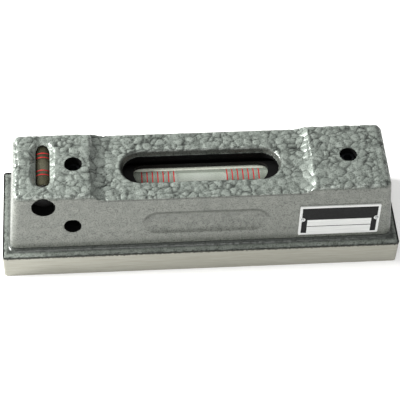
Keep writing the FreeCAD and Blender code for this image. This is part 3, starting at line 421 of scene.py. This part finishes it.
painted = faces_joined_to(highest_face(solid), is_cad_skin_face)
bmesh.ops.delete(solid, geom=list(painted), context="FACES")
for face in solid.faces:
    face.material_index = 0 if is_foot_face(face, 0) else 1
    face.smooth = False
bare_mesh = bpy.data.meshes.new("casting_bare_faces")
solid.to_mesh(bare_mesh)
solid.free()
bare_mesh.materials.append(ground_iron)
bare_mesh.materials.append(bore_shade_black)
bare_faces = bpy.data.objects.new("casting_bare_faces", bare_mesh)
for piece in (painted_skin, bare_faces):
    bpy.context.scene.collection.objects.link(piece)
    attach(piece, "casting")
    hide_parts("body_casting")


# ---------------------------------------------------------------------------------------------
# Type plate and its two rivets. Thin aluminium, printed with black fields that leave a border and
# two writing rows bright, and riveted to the front face. The rows and the band stay blank.
# ---------------------------------------------------------------------------------------------
PLATE_BORDER = 0.95 * MM
BAND_HEIGHT = 6.3 * MM
SIDE_BLOCK_WIDTH = 2.1 * MM
EYELET_RADIUS = 1.05 * MM
ROW_LINE = 0.3 * MM
INK_THICKNESS = 0.02 * MM
RIVET_HEAD_RADIUS = 0.65 * MM
PLATE_THICKNESS = 0.5 * MM
BLOCK_BASE_WIDTH = 35.2 * MM
BLOCK_TOP_WIDTH = 31.2 * MM
BLOCK_TOP = 39.5 * MM


def dress(node, finish):
    """Gives a CAD node its finish through its own material slots."""
    for material_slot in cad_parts[node].material_slots:
        material_slot.material = finish


def new_piece(name, mesh, body, finish):
    """A piece of the scene from a bmesh, riding on a body, with one finish."""
    data = bpy.data.meshes.new(name)
    mesh.to_mesh(data)
    mesh.free()
    data.materials.append(finish)
    piece = bpy.data.objects.new(name, data)
    bpy.context.scene.collection.objects.link(piece)
    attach(piece, body)
    return piece


# Plain aluminium sheet: a pale, slightly soft sheen with faint rolling streaks.
plate_sheet, shader, place = new_finish("rolled_aluminium", Roughness=0.45, Metallic=0.15)
rolled = add_node(plate_sheet, "ShaderNodeMapping", links={"Vector": place}, Scale=(0.05, 1, 1))
streaks = noise_map(plate_sheet, rolled.outputs[0], 2.5 / MM, 2.0)
join(plate_sheet, shades(plate_sheet, streaks, {0.3: "#E4E6E4", 0.7: "#F4F5F3"}),
     shader.inputs["Base Color"])
dress("type_plate", plate_sheet)

# Printing ink: dense black, faintly worn where fingers pass.
ink = mottled_finish("screen_print_ink", 1.1 / MM, 4.0, {0.35: "#050505", 0.8: "#161718"},
                     Roughness=0.5, Specular_IOR_Level=0.2)

plate_low, plate_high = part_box("type_plate")
plate_length = plate_high.x - plate_low.x
face_lean = math.atan((BLOCK_BASE_WIDTH - BLOCK_TOP_WIDTH) / 2 / (BLOCK_TOP - FOOT_TOP))
rise = Vector((0, math.sin(face_lean), math.cos(face_lean)))
outward = Vector((0, -math.cos(face_lean), math.sin(face_lean)))
edge_drop = PLATE_THICKNESS * math.sin(face_lean)
plate_height = (plate_high.z - plate_low.z - edge_drop) / math.cos(face_lean)
front_foot = Vector((plate_low.x, plate_low.y, plate_low.z + edge_drop))


def on_plate(along, up, lift):
    """A point on the plate, from its lower left front corner."""
    return front_foot + Vector((along, 0, 0)) + rise * up + outward * lift


def printed_field(name, outline, finish, level):
    """A thin printed field with the outline given in the plate's own plane."""
    mesh = bmesh.new()
    front = [mesh.verts.new(on_plate(x, y, (level + 1) * INK_THICKNESS)) for x, y in outline]
    back = [mesh.verts.new(on_plate(x, y, -INK_THICKNESS)) for x, y in outline]
    mesh.faces.new(front)
    mesh.faces.new(list(reversed(back)))
    for i in range(len(outline)):
        j = (i + 1) % len(outline)
        mesh.faces.new((front[i], back[i], back[j], front[j]))
    bmesh.ops.recalc_face_normals(mesh, faces=mesh.faces)
    return new_piece(name, mesh, "casting", finish)


def rectangle(left, bottom, right, top):
    return [(left, bottom), (right, bottom), (right, top), (left, top)]


def disc(x, y, radius, sides=32):
    """The outline of a disc, as points round it."""
    angles = [t * math.tau / sides for t in range(sides)]
    return [(x + radius * math.cos(angle), y + radius * math.sin(angle)) for angle in angles]


left, right = PLATE_BORDER, plate_length - PLATE_BORDER
bottom, top = PLATE_BORDER, plate_height - PLATE_BORDER
band_foot = top - BAND_HEIGHT
printed_field("plate_upper_band", rectangle(left, band_foot, right, top), ink, 0)
printed_field("plate_left_block", rectangle(left, bottom, left + SIDE_BLOCK_WIDTH, band_foot), ink, 0)
printed_field("plate_right_block", rectangle(right - SIDE_BLOCK_WIDTH, bottom, right, band_foot),
              ink, 0)
row_middle = (bottom + band_foot) / 2
printed_field("plate_row_line", rectangle(left + SIDE_BLOCK_WIDTH, row_middle - ROW_LINE / 2,
                                          right - SIDE_BLOCK_WIDTH, row_middle + ROW_LINE / 2), ink, 0)
rivet_low, rivet_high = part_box("plate_rivets")
rivet_up = ((rivet_low.z + rivet_high.z) / 2 - front_foot.z) / math.cos(face_lean)
for side, rivet_x in (("left", rivet_low.x + RIVET_HEAD_RADIUS),
                      ("right", rivet_high.x - RIVET_HEAD_RADIUS)):
    printed_field(f"plate_{side}_eyelet", disc(rivet_x - front_foot.x, rivet_up, EYELET_RADIUS),
                  plate_sheet, 1)

# Bright aluminium rivets with snapped heads.
rivet_metal = mottled_finish("snapped_aluminium", 1.5 / MM, 2.0, {0.3: "#8C8F90", 0.7: "#C9CBCB"},
                             Roughness=0.32, Metallic=0.9)
dress("plate_rivets", rivet_metal)

# ---------------------------------------------------------------------------------------------
# Vial carrier. A blacked brass tube with a window above the vial, plugged by two turned steel
# heads, and the plaster packing that beds the vial's ends.
# ---------------------------------------------------------------------------------------------
# Chemical black on brass: satin, and darker than the iron round it.
black_tube = mottled_finish("blacked_brass", 0.5 / MM, 3.0, {0.3: "#030303", 0.8: "#0C0B0B"},
                            Roughness=0.55, Specular_IOR_Level=0.2)
dress("carrier_tube", black_tube)

# Turned steel: fine rings round the axis, which draw the light into bands.
turned_steel, shader, place = new_finish("turned_steel", Roughness=0.3, Metallic=1.0)
rings = add_node(turned_steel, "ShaderNodeTexWave", {"bands_direction": "X"}, {"Vector": place},
                 Scale=2.0 / MM, Distortion=0.4, Detail=1.0).outputs["Fac"]
join(turned_steel, shades(turned_steel, rings, {0.2: "#7F8183", 0.8: "#A4A6A8"}),
     shader.inputs["Base Color"])
add_relief(turned_steel, shader, rings, 0.3, 0.01 * MM)
for node in ("left_carrier_head", "right_carrier_head", "disc_springs", "pivot_ball"):
    dress(node, turned_steel)

# Cast plaster: chalk white and quite dull, faintly pitted.
plaster = mottled_finish("cast_plaster", 1.2 / MM, 4.0, {0.3: "#CDD2C2", 0.7: "#E2E6D8"},
                         (0.4, 0.05 * MM), Roughness=0.85)
for node in ("left_vial_packing", "right_vial_packing", "main_vial_bed"):
    dress(node, plaster)

# ---------------------------------------------------------------------------------------------
# Main vial. A ground glass tube filled with spirit, with its bubble and its red enamelled lines.
# ---------------------------------------------------------------------------------------------
def clear_finish(name, face_on, rim, colours, roughness):
    """A clear material that shows more of itself where it is seen edge on."""
    material, shader, place = new_finish(name, Roughness=roughness, IOR=1.47)
    drift = noise_map(material, place, 0.12 / MM, 1.0)
    join(material, shades(material, drift, {0.3: colours[0], 0.7: colours[1]}),
         shader.inputs["Base Color"])
    edge_on = add_node(material, "ShaderNodeLayerWeight", Blend=0.3).outputs["Facing"]
    cover = add_node(material, "ShaderNodeMapRange", links={"Value": edge_on}, To_Min=face_on,
                     To_Max=rim)
    join(material, cover.outputs["Result"], shader.inputs["Alpha"])
    return material


# Clear borosilicate: all but invisible face on, with bright thin highlights and a greener rim.
vial_glass = clear_finish("borosilicate_glass", 0.16, 0.6, ("#C9D4C4", "#DDE6D8"), 0.04)
# Spirit: clear, with the faint yellow green that keeps it readable.
spirit = clear_finish("vial_spirit", 0.10, 0.35, ("#C5CBAE", "#D2D8BC"), 0.03)
# Air in spirit: seen only by its pale middle and the dark rim where the light bends back.
bubble_air = clear_finish("bubble_air", 0.18, 0.5, ("#E9EEE6", "#FFFFFF"), 0.02)
# Fired enamel: a dense signal red, slightly glossy.
red_enamel = mottled_finish("fired_red_enamel", 1.5 / MM, 2.0, {0.3: "#A8141C", 0.7: "#C4262C"},
                            Roughness=0.35)
dress("main_vial_glass", vial_glass)
dress("main_vial_liquid", spirit)
dress("main_vial_bubble", bubble_air)
dress("main_vial_scale", red_enamel)

# ---------------------------------------------------------------------------------------------
# Cross vial. The same build, smaller, bedded in yellowed plaster and sealed with black compound.
# ---------------------------------------------------------------------------------------------
# Yellowed plaster: the old bed of the cross vial, khaki through the glass.
old_plaster = mottled_finish("yellowed_plaster", 0.6 / MM, 4.0, {0.3: "#5C583F", 0.7: "#716D54"},
                             Roughness=0.85)
# Sealing compound: black, pressed in by hand, with a dull waxy lumpiness.
compound = mottled_finish("sealing_compound", 0.7 / MM, 3.0, {0.3: "#080808", 0.8: "#1C1B1A"},
                          (0.8, 0.2 * MM), Roughness=0.6)
# Its glass and spirit have yellowed too, so the strip reads as khaki.
old_glass = clear_finish("yellowed_glass", 0.08, 0.35, ("#7F7C62", "#96937A"), 0.05)
old_spirit = clear_finish("yellowed_spirit", 0.10, 0.3, ("#6E6A4E", "#7F7B60"), 0.03)
small_air = clear_finish("small_bubble_air", 0.10, 0.45, ("#A5A48E", "#C0BFAE"), 0.02)
dress("cross_vial_glass", old_glass)
dress("cross_vial_liquid", old_spirit)
dress("cross_vial_bubble", small_air)
dress("cross_vial_scale", red_enamel)
dress("cross_vial_bed", old_plaster)
dress("cross_vial_plug", compound)

# ---------------------------------------------------------------------------------------------
# Screws, thrust pad and end plug. Blackened steel, and a turned brass pad under the adjuster.
# ---------------------------------------------------------------------------------------------
# Oil blackened steel: almost black, with a bluish sheen on the edges.
dark_steel = mottled_finish("oil_blackened_steel", 0.6 / MM, 3.0, {0.3: "#1B1C1E", 0.8: "#3A3C3F"},
                            Roughness=0.38, Metallic=0.9)
for node in ("adjusting_screw", "pivot_screw", "front_lateral_screw", "rear_lateral_screw",
             "bore_end_plug"):
    dress(node, dark_steel)
# Turned brass: a warm yellow with a soft even shine.
brass = mottled_finish("turned_brass", 2.0 / MM, 2.0, {0.3: "#B08D4A", 0.7: "#C8A55E"},
                       Roughness=0.3, Metallic=1.0)
dress("thrust_pad", brass)

# ---------------------------------------------------------------------------------------------
# Studio: a pale floor that fades into a white backdrop, a window light low on the left, a larger
# and weaker light in front, and the camera above the front face.
# ---------------------------------------------------------------------------------------------
CAMERA_AZIMUTH = math.radians(-6.33)
CAMERA_ELEVATION = math.radians(51.01)
CAMERA_ROLL = math.radians(2.81)
CAMERA_DISTANCE = 0.5673
AIM_OFFSET = (-0.00076, -0.00972)
LENS = 130.45

floor_paint = bpy.data.materials.new("studio_floor")
floor_paint.use_nodes = True
floor_paint.node_tree.nodes.clear()
matt = add_node(floor_paint, "ShaderNodeBsdfDiffuse", Color=linear("#F2F2F0"))
glow = add_node(floor_paint, "ShaderNodeEmission", Strength=0.35)
unlit = add_node(floor_paint, "ShaderNodeEmission", Strength=0.0)
path = add_node(floor_paint, "ShaderNodeLightPath").outputs
seen = add_node(floor_paint, "ShaderNodeMath", {"operation": "MAXIMUM"},
                {0: path["Is Camera Ray"], 1: path["Is Glossy Ray"]})
lift = add_node(floor_paint, "ShaderNodeMixShader",
                links={0: seen.outputs[0], 1: unlit.outputs[0], 2: glow.outputs[0]})
total = add_node(floor_paint, "ShaderNodeAddShader",
                 links={0: matt.outputs[0], 1: lift.outputs[0]})
add_node(floor_paint, "ShaderNodeOutputMaterial", links={"Surface": total.outputs[0]})

floor_mesh = bmesh.new()
bmesh.ops.create_grid(floor_mesh, x_segments=8, y_segments=8, size=2.0)
floor_data = bpy.data.meshes.new("studio_floor")
floor_mesh.to_mesh(floor_data)
floor_mesh.free()
floor_data.materials.append(floor_paint)
floor = bpy.data.objects.new("studio_floor", floor_data)
floor.location.z = -0.0001
bpy.context.scene.collection.objects.link(floor)

world = bpy.data.worlds.new("studio")
world.use_nodes = True
world.node_tree.nodes.clear()
bpy.context.scene.world = world
air_light = add_node(world, "ShaderNodeBackground", Strength=0.36)
backdrop = add_node(world, "ShaderNodeBackground", Strength=1.0)
path = add_node(world, "ShaderNodeLightPath").outputs
seen = add_node(world, "ShaderNodeMath", {"operation": "MAXIMUM"},
                {0: path["Is Camera Ray"], 1: path["Is Transmission Ray"]})
choice = add_node(world, "ShaderNodeMixShader",
                  links={0: seen.outputs[0], 1: air_light.outputs[0], 2: backdrop.outputs[0]})
add_node(world, "ShaderNodeOutputWorld", links={"Surface": choice.outputs[0]})


def soft_light(name, place, size, power):
    """A square area light that faces the level."""
    lamp = bpy.data.lights.new(name, "AREA")
    lamp.size = size
    lamp.energy = power
    light = bpy.data.objects.new(name, lamp)
    light.location = place
    light.rotation_euler = (-Vector(place)).to_track_quat("-Z", "Y").to_euler()
    bpy.context.scene.collection.objects.link(light)


soft_light("window_light", (-0.62, 0.10, 0.36), 0.26, 10.5)
soft_light("front_light", (-0.10, -0.60, 0.75), 0.60, 2.6)

back = Vector((math.sin(CAMERA_AZIMUTH) * math.cos(CAMERA_ELEVATION),
               -math.cos(CAMERA_AZIMUTH) * math.cos(CAMERA_ELEVATION), math.sin(CAMERA_ELEVATION)))
level_right = Vector((0, 0, 1)).cross(back).normalized()
level_up = back.cross(level_right)
camera_right = math.cos(CAMERA_ROLL) * level_right + math.sin(CAMERA_ROLL) * level_up
camera_up = back.cross(camera_right)
stand = back * CAMERA_DISTANCE - camera_right * AIM_OFFSET[0] - camera_up * AIM_OFFSET[1]
facing = Matrix((camera_right, camera_up, back)).transposed().to_4x4()
lens = bpy.data.cameras.new("studio_camera")
lens.lens = LENS
lens.sensor_width = 36.0
lens.clip_start = 0.01
camera = bpy.data.objects.new("studio_camera", lens)
camera.matrix_world = Matrix.Translation(stand) @ facing
bpy.context.scene.collection.objects.link(camera)
bpy.context.scene.camera = camera
bpy.context.scene.view_settings.view_transform = "Standard"
